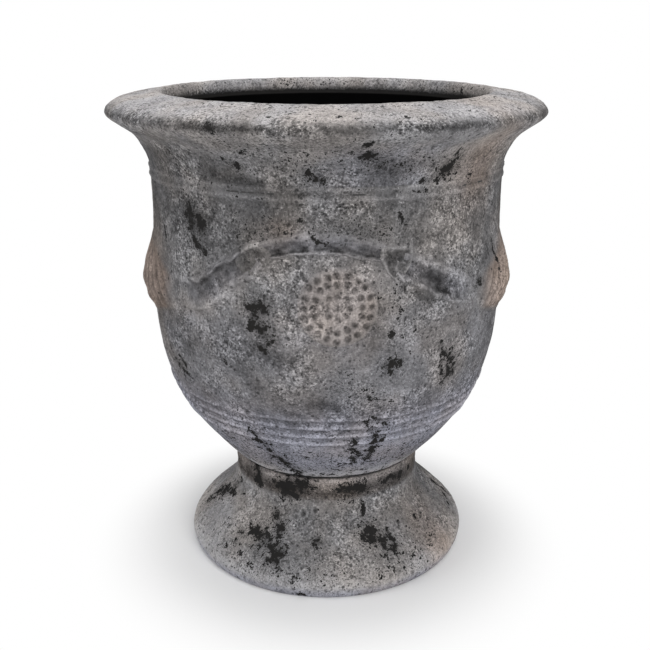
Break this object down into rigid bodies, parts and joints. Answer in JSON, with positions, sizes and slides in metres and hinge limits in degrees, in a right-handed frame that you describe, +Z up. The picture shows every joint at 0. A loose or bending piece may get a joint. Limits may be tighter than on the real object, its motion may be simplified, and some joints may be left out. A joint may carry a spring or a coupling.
{
  "type": "footed garden urn planter",
  "caption": "Free-standing urn planter of luted clay sections: hollow bell foot, tall bowl with a drain hole, flared collar with a rolled rim, and applied garland relief.",
  "frame": {"origin": "on the floor, at the middle of the foot's standing ring", "axes": "+Z up along the urn's axis, -Y towards the front rosette, +X to the right of it"},
  "size_m": [0.45, 0.45, 0.5095],
  "materials": {
    "washed_clay": "matt grey mineral wash over a black coat on fired clay, pitted and chipped",
    "relief_clay": "matt grey wash rubbed thin on the high points, so warm clay shows",
    "luting_slip": "dark fired slip"
  },
  "bodies": {
    "root": {"foot": "washed_clay", "foot_joint_slip": "luting_slip", "bowl": "washed_clay", "neck_joint_slip": "luting_slip", "rim_collar": "washed_clay", "neck_band": "relief_clay", "garland_front_left": "relief_clay", "garland_front_crest": "relief_clay", "garland_front_right": "relief_clay", "garland_back_left": "relief_clay", "garland_back_crest": "relief_clay", "garland_back_right": "relief_clay", "knot_front_left": "relief_clay", "knot_front_right": "relief_clay", "knot_back_left": "relief_clay", "knot_back_right": "relief_clay", "rosette_front": "relief_clay", "rosette_back": "relief_clay", "side_swag_left": "relief_clay", "side_swag_right": "relief_clay"}
  },
  "joints": []
}
